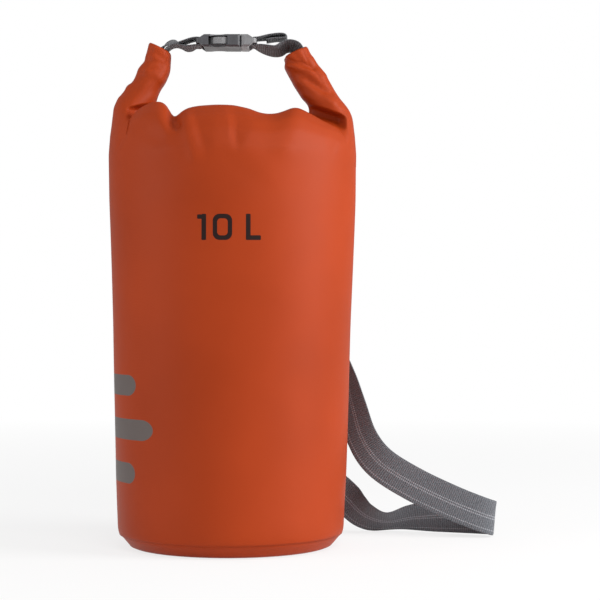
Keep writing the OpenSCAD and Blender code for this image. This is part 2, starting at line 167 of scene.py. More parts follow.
def normals_of(grid, wrap_v):
    """Unit normals of a grid of points: the cross of its two differences, the second going round if it wraps."""
    du = np.gradient(grid, axis=0)
    dv = (np.roll(grid, -1, 1) - np.roll(grid, 1, 1)) / 2 if wrap_v else np.gradient(grid, axis=1)
    return unit(np.cross(du, dv))


def near_line(p, q, a, b):
    """Distance from the points (p, q) to the segment a-b in the same plane."""
    a, b = np.asarray(a, float), np.asarray(b, float)
    d = b - a
    t = np.clip(((p - a[0]) * d[0] + (q - a[1]) * d[1]) / (d @ d), 0, 1)
    return np.hypot(p - a[0] - t * d[0], q - a[1] - t * d[1])


# ---------------------------------------------------------------- materials

def linear(hex_colour):
    """sRGB hex to the linear colour that a shader socket takes."""
    c = np.array([int(hex_colour[k:k + 2], 16) for k in (1, 3, 5)]) / 255
    return (*np.where(c <= 0.04045, c / 12.92, ((c + 0.055) / 1.055) ** 2.4), 1.0)


class Finish:
    """A material being built: its nodes, and short calls for the sums that its patterns need."""

    def __init__(self, name, colour, roughness):
        self.material = bpy.data.materials.new(name)
        self.material.use_nodes = True
        self.tree = self.material.node_tree
        self.shader = self.tree.nodes["Principled BSDF"]
        self.shader.inputs["Base Color"].default_value = linear(colour)
        self.shader.inputs["Roughness"].default_value = roughness

    def node(self, kind, **values):
        n = self.tree.nodes.new(kind)
        for key, value in values.items():
            setattr(n, key, value)
        return n

    def feed(self, socket, value):
        if hasattr(value, "is_output"):
            self.tree.links.new(value, socket)
        else:
            socket.default_value = value

    def maths(self, operation, *values):
        n = self.node("ShaderNodeMath", operation=operation)
        for k, v in enumerate(values):
            self.feed(n.inputs[k], v)
        return n.outputs[0]

    def parts(self, vector):
        n = self.node("ShaderNodeSeparateXYZ")
        self.feed(n.inputs[0], vector)
        return n.outputs

    def place(self):
        return self.node("ShaderNodeTexCoord").outputs["Object"]

    def lie(self):
        n = self.node("ShaderNodeAttribute", attribute_name="lie")
        return n.outputs["Vector"]

    def noise(self, vector, scale, detail=3.0, stretch=(1, 1, 1)):
        m = self.node("ShaderNodeMapping")
        m.inputs["Scale"].default_value = stretch
        self.feed(m.inputs["Vector"], vector)
        n = self.node("ShaderNodeTexNoise")
        n.inputs["Scale"].default_value = scale
        n.inputs["Detail"].default_value = detail
        self.feed(n.inputs["Vector"], m.outputs[0])
        return n.outputs["Fac"]

    def spread(self, value, lo, hi, out_lo, out_hi):
        n = self.node("ShaderNodeMapRange")
        for k, v in enumerate((value, lo, hi, out_lo, out_hi)):
            self.feed(n.inputs[k], v)
        return n.outputs[0]

    def mix(self, share, first, second):
        n = self.node("ShaderNodeMix", data_type="RGBA")
        self.feed(n.inputs["Factor"], share)
        self.feed(n.inputs["A"], linear(first) if isinstance(first, str) else first)
        self.feed(n.inputs["B"], linear(second) if isinstance(second, str) else second)
        return n.outputs["Result"]

    def ridges(self, *layers):
        """Bumps in turn: each layer is (height, distance in metres, strength)."""
        normal = None
        for height, distance, strength in layers:
            n = self.node("ShaderNodeBump")
            n.inputs["Distance"].default_value = distance
            n.inputs["Strength"].default_value = strength
            self.feed(n.inputs["Height"], height)
            if normal is not None:
                self.feed(n.inputs["Normal"], normal)
            normal = n.outputs[0]
        self.feed(self.shader.inputs["Normal"], normal)

    def bar(self, across, up, box, round_by):
        """1 inside a round-cornered bar with the box (middle across, middle up, half width, half height), 0
        outside."""
        x0, z0, hx, hz = box
        dx = self.maths("SUBTRACT", self.maths("ABSOLUTE", self.maths("SUBTRACT", across, x0)), hx - round_by)
        dz = self.maths("SUBTRACT", self.maths("ABSOLUTE", self.maths("SUBTRACT", up, z0)), hz - round_by)
        dx, dz = self.maths("MAXIMUM", dx, 0.0), self.maths("MAXIMUM", dz, 0.0)
        far = self.maths("SQRT", self.maths("ADD", self.maths("MULTIPLY", dx, dx), self.maths("MULTIPLY", dz, dz)))
        return self.maths("LESS_THAN", far, round_by)


def coated_fabric(name, printed):
    """PVC-coated polyester: a fine scrim just showing through a soft satin coat. If printed, it carries a plain
    volume mark in front and three plain level bars on its left."""
    f = Finish(name, "#A33A12", 0.5)
    place = f.place()
    x, y, z = f.parts(place)
    cloudy = f.noise(place, 9.0, 2.0)
    colour = f.mix(f.spread(cloudy, 0.3, 0.7, 0.0, 1.0), "#9B350C", "#A93C12")
    if printed:
        front = f.maths("LESS_THAN", y, -0.02)
        # the mark's strokes, in metres: the 1 and its flag, the 0 with its hole, the upright and the foot of the L
        inks = [
            f.bar(x, z, (-0.0185, 0.2655, 0.0019, 0.0105), 0.0008),
            f.bar(x, z, (-0.0207, 0.2738, 0.0032, 0.0018), 0.0008),
            f.maths(
                "SUBTRACT",
                f.bar(x, z, (-0.0035, 0.2655, 0.0078, 0.0105), 0.0055),
                f.bar(x, z, (-0.0035, 0.2655, 0.0042, 0.0068), 0.0028),
            ),
            f.bar(x, z, (0.0171, 0.2655, 0.0019, 0.0105), 0.0008),
            f.bar(x, z, (0.0212, 0.2569, 0.0060, 0.0019), 0.0008),
        ]
        ink = inks[0]
        for more in inks[1:]:
            ink = f.maths("MAXIMUM", ink, more)
        colour = f.mix(f.maths("MULTIPLY", ink, front), colour, "#241513")
        left = f.maths("LESS_THAN", x, -0.03)
        bar_end = 0.0084
        bars = f.bar(y, z, (-0.028, 0.137, 0.030, 0.0085), bar_end)
        for more in ((-0.035, 0.101, 0.037, 0.0085), (-0.028, 0.065, 0.030, 0.0085)):
            bars = f.maths("MAXIMUM", bars, f.bar(y, z, more, bar_end))
        colour = f.mix(f.maths("MULTIPLY", bars, left), colour, "#665D5A")
    f.feed(f.shader.inputs["Base Color"], colour)
    grain = f.node("ShaderNodeTexNoise")
    grain.inputs["Scale"].default_value = 1500.0
    grain.inputs["Detail"].default_value = 1.0
    f.feed(grain.inputs["Vector"], place)
    # radians per metre: threads 1.2 mm apart, as coarse as they need to be to show
    threads = 5200.0
    upright = f.maths("SINE", f.maths("MULTIPLY", z, threads))
    level = f.maths("SINE", f.maths("MULTIPLY", f.maths("ADD", x, y), threads))
    scrim = f.maths("MULTIPLY", upright, level)
    f.ridges((f.noise(place, 55.0, 2.0), 0.0006, 0.25), (scrim, 0.00005, 0.35), (grain.outputs["Fac"], 0.0001, 0.25))
    f.feed(f.shader.inputs["Roughness"], f.spread(cloudy, 0.2, 0.8, 0.46, 0.58))
    f.shader.inputs["Specular IOR Level"].default_value = 0.16
    return f.material


def woven_webbing(name, base, dark, line, half_width):
    """Polyester webbing: raised cross ribs 1.8 mm apart, fine warp threads, and lighter warp lines, two beside the
    middle and one near an edge."""
    f = Finish(name, base, 0.72)
    u, v, _ = f.parts(f.lie())
    rib_spacing, thread_spacing = 0.0018, 0.0009
    rib = f.maths("SINE", f.maths("MULTIPLY", v, 2 * math.pi / rib_spacing))
    warp = f.maths("SINE", f.maths("MULTIPLY", u, 2 * math.pi / thread_spacing))
    speckle = f.noise(f.lie(), 900.0, 1.0)
    colour = f.mix(f.spread(rib, -1.0, 0.6, 0.0, 1.0), dark, base)
    colour = f.mix(f.spread(speckle, 0.35, 0.75, 0.0, 0.35), colour, line)
    lines = None
    for at, half in ((-0.0011, 0.0005), (0.0011, 0.0005), (-half_width * 0.74, 0.0004)):
        near = f.maths("LESS_THAN", f.maths("ABSOLUTE", f.maths("SUBTRACT", u, at)), half)
        lines = near if lines is None else f.maths("MAXIMUM", lines, near)
    stitch = f.spread(rib, -0.6, 0.4, 0.25, 0.85)
    colour = f.mix(f.maths("MULTIPLY", lines, stitch), colour, line)
    f.feed(f.shader.inputs["Base Color"], colour)
    f.ridges((rib, 0.00022, 0.6), (warp, 0.0001, 0.35), (speckle, 0.0001, 0.3))
    f.shader.inputs["Sheen Weight"].default_value = 0.15
    f.shader.inputs["Sheen Roughness"].default_value = 0.4
    return f.material


def moulded_plastic(name, colour, worn, roughness):
    """Acetal: an even satin with a very fine spark-eroded grain, a little paler and rougher in patches."""
    f = Finish(name, colour, roughness)
    place = f.place()
    patch = f.noise(place, 120.0, 2.0)
    f.feed(f.shader.inputs["Base Color"], f.mix(f.spread(patch, 0.35, 0.75, 0.0, 0.5), colour, worn))
    f.feed(f.shader.inputs["Roughness"], f.spread(patch, 0.2, 0.8, roughness - 0.05, roughness + 0.08))
    f.ridges((f.noise(place, 2600.0, 1.0), 0.00006, 0.35))
    return f.material


FABRIC = coated_fabric("orange PVC-coated polyester, printed", True)
PLAIN_FABRIC = coated_fabric("orange PVC-coated polyester", False)
WEBBING = woven_webbing("grey polyester webbing 30 mm", "#5F6268", "#44474C", "#A5A6AC", 0.015)
NARROW_WEBBING = woven_webbing("grey polyester webbing 25 mm", "#5E5F62", "#434447", "#7D7D82", 0.0125)
SOCKET_PLASTIC = moulded_plastic("dark grey acetal", "#47474A", "#55555A", 0.42)
PLUG_PLASTIC = moulded_plastic("light grey acetal", "#7D7D7F", "#8B8B8C", 0.4)
FITTING_PLASTIC = moulded_plastic("charcoal acetal", "#37383A", "#45464A", 0.42)


# ---------------------------------------------------------------- shoulder strap

# where the two rings' bars and bows lie, in mm, and how far the strap's end hangs from a bow
RING_UP_Z, RING_LOW_Z, RING_R, TILT, HANG = 300.0, 40.0, 14.0, math.radians(25), 46.3
RING_UP_Y = 90.758
RING_LOW_Y = 99.759
RING_LOW_X = 12.0
UP_Y = RING_UP_Y + RING_R * math.sin(TILT)
UP_Z = RING_UP_Z - RING_R * math.cos(TILT)
LOW_X = RING_LOW_X + RING_R

# the strap's route in mm: middle point, and the way that its width lies
STRAP_ROUTE = [
    ((0, UP_Y, UP_Z - HANG), (1, 0, 0)), ((0, UP_Y, UP_Z - HANG - 20), (1, 0, 0)),
    ((0, UP_Y, UP_Z - HANG - 36), (1, 0, 0)), ((0, UP_Y, UP_Z - HANG - 43), (1, 0, 0)),
    ((0.6, UP_Y + 0.2, UP_Z - HANG - 49), (1, 0, 0.03)),
    ((15, 101, 182.5), (0.8, 0, 0.6)), ((40, 104, 176), (0.5, -0.1, 0.86)), ((67, 98, 169), (0.4, -0.3, 0.86)),
    ((88, 84, 157), (0.4, -0.55, 0.75)), ((99, 71, 137), (0.5, -0.72, 0.5)), ((105.5, 61, 112), (0.72, -0.6, 0.4)),
    ((113, 54, 86), (0.84, -0.42, 0.36)), ((128, 49, 65), (0.72, -0.15, 0.68)), ((156, 45, 47), (0.45, 0, 0.9)),
    ((189, 41, 31.4), (0.3, 0, 0.95)), ((215, 40, 21), (0.15, 0, 1)), ((227, 44.5, 16.6), (0.1, 0, 1)),
    ((226, 55, 15.8), (0.05, 0, 1)), ((208, 62, 15.8), (0, -0.05, 1)), ((182, 68, 15.4), (0, -0.25, 0.97)),
    ((157, 72, 13.6), (0, -0.58, 0.81)), ((137, 74, 10.2), (0, -0.8, 0.6)), ((122, 78, 12.6), (0.1, -0.6, 0.8)),
    ((111, 85, 18.5), (0.3, -0.3, 0.9)), ((101.5, 93.5, 27.5), (0.4, -0.05, 0.9)),
    ((LOW_X + HANG + 16, RING_LOW_Y, RING_LOW_Z - 1.5), (0.15, 0, 1)),
    ((LOW_X + HANG + 8, RING_LOW_Y, RING_LOW_Z), (0, 0, 1)), ((LOW_X + HANG, RING_LOW_Y, RING_LOW_Z), (0, 0, 1)),
]


def woven_strip(name, middle, wide, width, thick, material):
    """A flat band with soft edges. Each ring is the path's point, plus (w/2) c^0.3 along its width, plus (t/2)
    s^0.7 along its thickness, for c and s the cosine and sine round the ring. The ends are closed with a last ring
    drawn to the middle line. The attribute 'lie' holds metres across and along."""
    middle, wide = np.asarray(middle, float), np.asarray(wide, float)
    d = unit(np.gradient(middle, axis=0))
    w = unit(wide - (wide * d).sum(1, keepdims=True) * d)
    t = np.cross(d, w)
    ring_points = 28
    round_by = np.linspace(0, 2 * np.pi, ring_points, endpoint=False)
    across = power(np.cos(round_by), 0.3) * width / 2
    deep = power(np.sin(round_by), 0.7) * thick / 2
    rings = middle[:, None] + across[None, :, None] * w[:, None] + deep[None, :, None] * t[:, None]
    ends = [middle[k][None, None] + across[None, :, None] * w[k][None, None] for k in (0, -1)]
    grid = np.concatenate([ends[0], rings, ends[1]], axis=0)
    s = along(middle)
    s = np.concatenate([[s[0]], s, [s[-1]]])
    lie = np.stack(np.broadcast_arrays(across[None] * MM, s[:, None] * MM, 0.0), axis=2)
    faces = grid_faces(len(grid), ring_points, False, True)[:, ::-1]
    return make_piece(name, grid, faces, material, {"lie": lie})


def shoulder_strap():
    """The strap from its upper loop, round the floor to the right of the bag, and back to its lower loop."""
    middle = catmull([r[0] for r in STRAP_ROUTE], 9)
    wide = catmull([r[1] for r in STRAP_ROUTE], 9)
    strap = woven_strip("strap_webbing", middle, wide, STRAP_WIDTH, STRAP_THICK, WEBBING)
    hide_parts("shoulder_strap")
    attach(strap, "bag")


shoulder_strap()


# ---------------------------------------------------------------- bag tube with its two humps

# above this height the tube's profile follows the crest, and this is its own highest point, in mm
HUMP_FOOT, PROFILE_TOP = 330, 366
# the tube's profile in mm: height, half depth, half width, squareness
TUBE = [
    (10.4, 94.2, 94.3, 1), (10.8, 94.9, 95.0, 1), (14, 95.3, 95.5, 1), (24, 95.2, 95.8, 1),
    (60, 93.0, 97.5, 1), (186, 89.4, 100.5, 1), (290, 86, 104.2, 1), (330, 84.2, 104.7, 1), (345, 78.5, 103.5, 0.97),
    (356, 69.5, 101, 0.92), (364, 56, 97.5, 0.86), (366, 43, 93, 0.8), (361.5, 29, 89.5, 0.72), (354, 20.5, 87, 0.66),
    (347, 17, 85.5, 0.6), (338, 15.5, 84.5, 0.6),
]
# height of the front hump's crest across the bag, in mm
FRONT_CREST = [
    (-110, 340), (-100, 341), (-94, 345.5), (-88, 354), (-82, 362.4), (-75, 367.6), (-66, 371.3), (-58.4, 371.6),
    (-53.3, 369), (-50.2, 363), (-47.8, 357.4), (-45, 357.8), (-42, 361), (-38, 364.2), (-33, 366), (-26, 367.2),
    (-12, 368.2), (1.4, 368), (14.8, 365.2), (24, 361.6), (31, 360.6), (38, 361.2), (45, 363.6), (50.6, 366.2),
    (56, 366.2), (64, 362.4), (77, 355.4), (88, 351), (95, 347), (101, 342), (110, 340),
]
BACK_CREST = [
    (-110, 340), (-100, 342), (-86, 354), (-70, 361), (-58, 356), (-45, 350), (-30, 352), (-12, 358), (10, 361),
    (25, 358), (40, 354), (56, 356), (70, 354), (86, 348), (98, 343), (110, 340),
]
# folds of the slack fabric, in mm: the sharp edge's x at the top and at the foot, the soft edge's x at both, the
# heights of the top and the foot, and the depth
FRONT_FOLDS = [
    (1.5, 5.5, 30, 7.5, 360, 325, 2.3), (-29, -19, -10, -13, 354, 321, 1.3), (-43, -38, -50, -46, 358, 338, 1.2),
    (92, 84, 74, 80, 350, 322, 0.9),
]
BACK_FOLDS = [
    (-20, -16, 8, -10, 352, 318, 2.6), (46, 38, 24, 34, 350, 320, 2.0), (-62, -50, -44, -47, 352, 322, 1.4),
]
# soft creases, in mm: x, z to x, z, half width, depth (a minus is a ridge)
FRONT_CREASES = [
    (-36, 354, -28, 322, 4.5, -1.0), (-47, 358, -43, 349, 3.5, 3.6), (-80, 352, -58, 338, 8.0, 1.1),
    (-58, 354, -48, 345, 4.0, -0.7), (52, 356, 46, 330, 9.0, -0.9), (34, 352, 30, 330, 8.0, 0.6),
    (-4, 324, 30, 296, 10.0, 0.5), (-70, 300, -30, 326, 12.0, 0.5), (70, 330, 50, 300, 12.0, 0.4),
]
BACK_CREASES = [
    (10, 350, 6, 326, 6.0, -0.9), (-60, 340, -44, 318, 8.0, 0.9), (60, 330, 40, 300, 12.0, 0.6),
]


def crest(table, x):
    """Height of a hump's crest at x, from the table, its corners averaged over 2 mm."""
    xs = np.linspace(-110, 110, 881)
    z = np.interp(xs, [p[0] for p in table], [p[1] for p in table])
    bell = np.exp(-0.5 * (np.arange(-24, 25) / 8) ** 2)
    z = np.convolve(np.pad(z, 24, mode="edge"), bell / bell.sum(), "valid")
    return np.interp(x, xs, z)


def lean(z):
    """How far the filled bag leans to the right at a height, in mm: 1.4 (3t^2 - 2t^3) between 30 and 230."""
    return 1.4 * step(z, 30, 230)


def fold_depth(x, z, folds):
    """How far a set of folds dips at (x, z). Between a fold's sharp edge (t = 0) and its soft edge (t = 1) the dip
    is depth (1 - t)^1.3, and it fades over the fold's top and foot."""
    dip = 0 * x
    for sharp_top, sharp_foot, soft_top, soft_foot, z_top, z_foot, depth in folds:
        q = np.clip((z - z_foot) / (z_top - z_foot), 0, 1.4)
        sharp, soft = sharp_foot + (sharp_top - sharp_foot) * q, soft_foot + (soft_top - soft_foot) * q
        t = (x - sharp) / np.where(np.abs(soft - sharp) < 0.5, 0.5, soft - sharp)
        wide = np.maximum(np.abs(soft - sharp), 3)
        rise = step(t * wide, -1.6, 1.2)
        dip = dip + depth * rise * np.clip(1 - t, 0, 1) ** 1.3 * step(z, z_foot - 3, z_foot + 14)
    return dip


def tube_surface(rows, round_count):
    """Points of the tube's outer face. A row of the profile gives a squared ellipse, x = a c^e and y = b s^e. Above
    330 mm its height is scaled by the crest's height at that x, the front crest in front and the back one behind.
    Folds and creases then move points inwards along their normals, less so towards the crest."""
    prof = soft_rows(TUBE, rows, 3.0)
    w = np.linspace(0, 2 * np.pi, round_count, endpoint=False)
    c, s = np.cos(w)[None], np.sin(w)[None]
    z, b, a, e = (prof[:, k:k + 1] for k in range(4))
    x, y = a * power(c, e), b * power(s, e)
    front = 0.5 + 0.5 * np.clip(-y / 12, -1, 1)
    top = front * crest(FRONT_CREST, x) + (1 - front) * crest(BACK_CREST, x)
    z = np.where(z > HUMP_FOOT, HUMP_FOOT + (z - HUMP_FOOT) * (top - HUMP_FOOT) / (PROFILE_TOP - HUMP_FOOT), z) + 0 * x
    grid = np.stack([x + lean(z), y, z], axis=2)
    n = -normals_of(grid, True)
    shift = np.zeros(x.shape)
    row = np.linspace(0, 1, rows)[:, None] + 0 * x
    outside = 1 - step(row, 0.93, 0.99)
    for lines, folds, side in ((FRONT_CREASES, FRONT_FOLDS, -1), (BACK_CREASES, BACK_FOLDS, 1)):
        facing = step(side * y, 8, 30) * step(side * n[..., 1], 0.15, 0.75)
        for x0, z0, x1, z1, half, depth in lines:
            shift -= depth * np.exp(-(near_line(x, z, (x0, z0), (x1, z1)) / half) ** 2) * facing
        shift -= fold_depth(x, z, folds) * facing
    # the slackness of a filled tube, in long waves
    shift += 0.35 * np.sin(z / 41 + 2 * w[None]) * np.sin(3 * w[None] + z / 97) * step(z, 25, 60)
    return grid + n * (shift * outside)[..., None]


def bag_tube():
    """The tube as one closed shell: its outer face, and the same face 1 mm further in, joined at both open ends."""
    rows, round_count = 190, 250
    outer = tube_surface(rows, round_count)
    n = -normals_of(outer, True)
    inner = outer - n * FABRIC_THICK
    grid = np.concatenate([outer, inner[::-1]], axis=0)
    bag = make_piece("bag_tube", grid, grid_faces(2 * rows, round_count, True, True)[:, ::-1], FABRIC)
    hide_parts("body_tube")
    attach(bag, "bag")


bag_tube()


def welded_base():
    """The base, a shallow cup of the same fabric welded inside the tube's foot: its profile turned about Z, x = r
    cos(w) and y = r sin(w), with the flat underside meeting the wall in a creased slope."""
    profile = np.array([
        (0, 0.9), (30, 0.7), (60, 0.3), (80, 0.0), (83.6, 0.2), (85.6, 1.0), (87.6, 3.2), (91.0, 7.2),
        (93.2, 9.6), (94.0, 11.4), (94.0, 13.4), (92.9, 13.6), (92.6, 11.6), (91.6, 9.9), (84.6, 2.8), (80, 1.4),
        (60, 1.6), (30, 2.0), (0, 2.2),
    ])
    round_count = 240
    w = np.linspace(0, 2 * np.pi, round_count, endpoint=False)
    r, z = profile[:, :1], profile[:, 1:2]
    slack = 0.35 * np.sin(5 * w + 0.6)[None] * step(r, 70, 88) * step(z, 1, 4)
    grid = np.stack([(r + slack) * np.cos(w), (r + slack) * np.sin(w), z + 0 * w], axis=2)
    base = merged(make_piece("welded_base", grid, grid_faces(len(profile), round_count, False, True), PLAIN_FABRIC))
    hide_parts("base_panel")
    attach(base, "bag")


# ---------------------------------------------------------------- rolled mouth and its two upturned ends

# inner and outer edge of each end, from inside the tube's shoulder to the tip: x, z, x, z, and half depth, in mm
LEFT_EDGES = [
    (-68, 320, -103.4, 320, 22), (-66, 336, -103.4, 336, 21), (-64.5, 350, -102.6, 350, 20.5),
    (-63.5, 364, -100.9, 362, 20), (-64.0, 372, -98, 373, 19), (-62.5, 379.5, -94.6, 381, 18),
    (-59.4, 385.5, -90.4, 386.4, 17), (-56.4, 390.2, -86, 391, 16.4), (-53.8, 395, -82.2, 395, 15.8),
    (-51.8, 400, -78.6, 401.2, 15.4), (-51, 405, -74.8, 407.8, 15.2), (-50.9, 410, -71.6, 415.5, 15),
    (-50.9, 414.3, -69.2, 423.4, 14.8),
]
RIGHT_EDGES = [
    (68, 320, 106.2, 320, 22), (66, 336, 106.2, 336, 21), (64.5, 350, 105.2, 350, 20.5),
    (66, 363, 102.6, 361.5, 20), (65.6, 371.5, 97, 371.2, 19), (60.4, 378, 90.8, 379.8, 18),
    (55.4, 384.8, 86, 388, 17), (51, 391.8, 81.8, 395.2, 16.2), (47.6, 397.2, 77.8, 400.2, 15.6),
    (45.7, 401, 73.6, 405, 15.4), (45, 404.6, 70, 410.2, 15.2), (44.6, 407.6, 67.4, 415.6, 15),
    (44.4, 410.4, 65.3, 420.4, 14.8),
]
# creases on the ends' front faces, as the tube's
LEFT_END_CREASES = [
    (-90, 370, -62, 379, 4.0, -0.7), (-93, 383, -66, 395, 4.5, 1.7), (-84, 391.5, -58, 402, 3.6, 1.3),
    (-88, 388, -64, 397, 3.0, -0.8), (-79, 403, -58, 392, 3.5, -0.7), (-73, 409, -54, 405, 2.8, 1.0),
    (-68, 422, -61, 405, 3.5, -0.5), (-77, 376, -67, 398, 6.0, -0.8), (-66, 416, -53, 408, 2.5, 0.8),
    (-98, 376, -80, 384, 5.0, 0.9),
]
RIGHT_END_CREASES = [
    (62, 379, 90, 368, 4.0, -1.0), (45, 408.5, 70, 402.6, 2.6, 2.2), (50, 399, 77, 382, 6.0, 2.1),
    (47, 404.5, 67, 399, 3.0, -0.8), (57, 391, 86, 373, 3.5, -1.4), (79, 397, 69, 411, 3.0, -1.1),
    (54, 413, 63, 405, 2.6, 0.8), (66, 392, 84, 381, 3.0, 1.0),
]


def roll_end(name, edges, creases, side, spread, turn_from, turn_to, turn_sooner, under):
    """One upturned end of the roll, a sleeve. A ring is a squared oval between the inner and the outer edge, m + h
    c^0.86 along them and d s^0.8 in depth. Low down its outer half spreads on to the tube, a cos(p) and b sin(p)
    with p up to the given spread, and 3t^2 - 2t^3 of the height turns the one into the other. Below the line of the
    given undercut the front is drawn back, as a slack end hangs over its hump. It turns in at the tip and runs 20
    mm back down inside, and its foot is closed inside the tube."""
    rows, round_count = 130, 144
    # the sleeve's inner face as a share of its outer one, and how far down inside it runs, in rows
    inner_share, inside_rows = 1 - 1.3 / 11, 26
    e = soft_rows(catmull(edges, 12), rows, 2.4)
    mid = np.stack([(e[:, 0] + e[:, 2]) / 2, 0 * e[:, 0], (e[:, 1] + e[:, 3]) / 2], axis=1)
    half = np.stack([(e[:, 2] - e[:, 0]) / 2, 0 * e[:, 0], (e[:, 3] - e[:, 1]) / 2], axis=1)
    w = np.linspace(0, 2 * np.pi, round_count, endpoint=False)
    c, s = power(np.cos(w), 0.86), power(np.sin(w), 0.8)
    depth = np.array([0, 1.0, 0])
    grid = mid[:, None] + c[None, :, None] * half[:, None] + (s[None] * e[:, 4:5])[..., None] * depth
    z = e[:, 3:4]
    turn = np.minimum(w, 2 * np.pi - w)[None]
    p = np.radians(spread) * np.clip(turn / (np.pi / 2), 0, 1) * np.sign(np.pi - w)[None]
    a = np.interp(z, [320, 330, 345, 365], [104.6, 104.7, 103.6, 101.0]) + 0.1
    b = np.interp(z, [320, 330, 345, 356, 366, 386], [84.7, 84.2, 79.2, 72.5, 65.0, 50.0]) + 0.1
    inward = np.clip(turn / (np.pi / 2) - 1, 0, 1)
    b = b - 2.6 * step(turn, 1.05, 1.57)
    inner_edge = 64
    x = lean(z) + side * (a * np.cos(p) * (1 - inward) + inner_edge * inward)
    on_tube = np.stack([x, b * np.sin(p) * (1 - inward), z + 0 * p], axis=2)
    sooner = turn_sooner * step(turn, 0.5, 1.5)
    share = step(z, turn_from - sooner, turn_to - sooner)[..., None]
    grid = on_tube * (1 - share) + grid * share
    n = normals_of(grid, True) * -side
    shift = np.zeros(grid.shape[:2])
    x, y, z = grid[..., 0], grid[..., 1], grid[..., 2]
    facing = 0.35 + 0.65 * step(-y, -6, 6)
    for x0, z0, x1, z1, reach, deep in creases:
        shift -= deep * np.exp(-(near_line(x, z, (x0, z0), (x1, z1)) / reach) ** 2) * facing
    (x0, z0), (x1, z1), drawn = under
    below = ((x1 - x0) * (z0 - z) + (z1 - z0) * (x - x0)) * np.sign(x1 - x0) / math.hypot(x1 - x0, z1 - z0)
    outer_end = max(abs(x0), abs(x1))
    cut = step(below, -0.4, 2.6) * (1 - step(below, 6, 15))
    cut = cut * (1 - step(side * x, outer_end - 7, outer_end + 1)) * step(-y, 0, 3)
    # the lapped turns show as shallow steps running up the end's depth
    lap = np.abs(((w / (2 * np.pi) * 3) % 1) - 0.5)[None]
    shift -= 0.4 * np.exp(-(lap / 0.05) ** 2) * step(np.arange(rows)[:, None], 80, 110)
    outer = grid + n * shift[..., None] - (cut * drawn / 20 * y)[..., None] * depth
    lip = outer[-1:]
    lip_in = mid[-1] + (lip - mid[-1]) * inner_share
    lip_top = 0.5 * (lip + lip_in) + (mid[-1] - mid[-2]) * 1.2
    back = np.linspace(0, 1, 12)[1:]
    deep_rows = np.clip((rows - 1 - back * inside_rows).astype(int), 0, rows - 1)
    deep_mid = mid[deep_rows][:, None]
    inside = deep_mid + (grid[deep_rows] - deep_mid) * (inner_share - 0.05 * back[:, None, None])
    foot = np.repeat(outer[:1].mean(1, keepdims=True), round_count, 1)
    closed = np.repeat(deep_mid[-1:], round_count, 1)
    full = np.concatenate([foot, outer, lip_top, lip_in, inside, closed], axis=0)
    faces = grid_faces(len(full), round_count, False, True)
    piece = make_piece(name, full, faces if side > 0 else faces[:, ::-1], PLAIN_FABRIC)
    return piece, mid, half, e


def inner_turns(name, mid, half, e):
    """The rolled layers that show in an end's opening: a spiral band of one and a half turns inside the sleeve,
    from 20 mm down to just under the lip. Its radius falls from 0.84 to 0.56 of the sleeve's."""
    pick = np.linspace(len(mid) - 25, len(mid) - 2, 14).astype(int)
    turn_points = 90
    w = np.linspace(0.3, 0.3 + 3 * np.pi, turn_points)
    share = np.linspace(0.84, 0.56, turn_points)
    share_in = share - 0.085
    c, s = power(np.cos(w), 0.86), power(np.sin(w), 0.8)

    def ring(k, q):
        return mid[k] + (q * c)[:, None] * half[k] + np.stack([0 * w, q * s * e[k, 4], 0 * w], axis=1)

    loops = np.stack([np.concatenate([ring(k, share), ring(k, share_in)[::-1]]) for k in pick])
    n = loops.shape[1]
    faces = grid_faces(len(loops), n, False, True)
    i = np.arange(n // 2 - 1)
    cap = np.stack([i, i + 1, n - 2 - i, n - 1 - i], axis=1)
    last = (len(loops) - 1) * n
    faces = np.vstack([faces, cap, last + cap[:, ::-1]])
    return merged(make_piece(name, loops, faces, PLAIN_FABRIC))


def rolled_middle():
    """The straight part of the roll, sunk between the humps: a squared oval along X with a slow wobble, its turns'
    edge as a step along its top front."""
    round_count, roll_z = 72, 347.5
    x = np.linspace(-80, 80, 90)
    w = np.linspace(0, 2 * np.pi, round_count, endpoint=False)
    turn = w / (2 * np.pi)
    r = 1 + 0.07 * (turn - 0.5)
    narrow = 1 - 0.55 * step(np.abs(x), 58, 80)[:, None]
    y = narrow * 16.2 * r * power(np.cos(w + 0.9), 0.95)
    z = narrow * 10.8 * r * power(np.sin(w + 0.9), 0.95)
    wobble = 0.7 * np.sin(x / 19) + 0.4 * np.sin(x / 7 + 1)
    swell = (1 + 0.05 * np.sin(x / 13))[:, None]
    wobble = wobble[:, None]
    grid = np.stack(np.broadcast_arrays(x[:, None], y + 0.6 * wobble, roll_z + z * swell + wobble), axis=2)
    ends = [np.repeat(grid[k].mean(0)[None, None], round_count, 1) for k in (0, -1)]
    grid = np.concatenate([ends[0], grid, ends[1]], axis=0)
    roll = merged(make_piece("rolled_mouth", grid, grid_faces(len(grid), round_count, False, True), PLAIN_FABRIC))
    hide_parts("mouth_roll", "mouth_stiffener")
    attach(roll, "bag")


welded_base()
rolled_middle()
left_end, left_mid, left_half, left_e = roll_end(
    "roll_end_left_fabric", LEFT_EDGES, LEFT_END_CREASES, -1, spread=34, turn_from=352, turn_to=388, turn_sooner=5,
    under=((-86, 367.5), (-58, 375.5), 9.0),
)
right_end, right_mid, right_half, right_e = roll_end(
    "roll_end_right_fabric", RIGHT_EDGES, RIGHT_END_CREASES, 1, spread=28, turn_from=347, turn_to=378, turn_sooner=14,
    under=((60, 374.5), (97.5, 361.2), 11.5),
)
for piece, node in ((left_end, "roll_end_left"), (right_end, "roll_end_right")):
    merged(piece)
    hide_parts(node)
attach(left_end, "bag")
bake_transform(right_end)
left_turns = inner_turns("roll_turns_left", left_mid, left_half, left_e)
right_turns = inner_turns("roll_turns_right", right_mid, right_half, right_e)
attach(left_turns, "bag")
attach(right_turns, "right_arm")


# ---------------------------------------------------------------- closure webbing

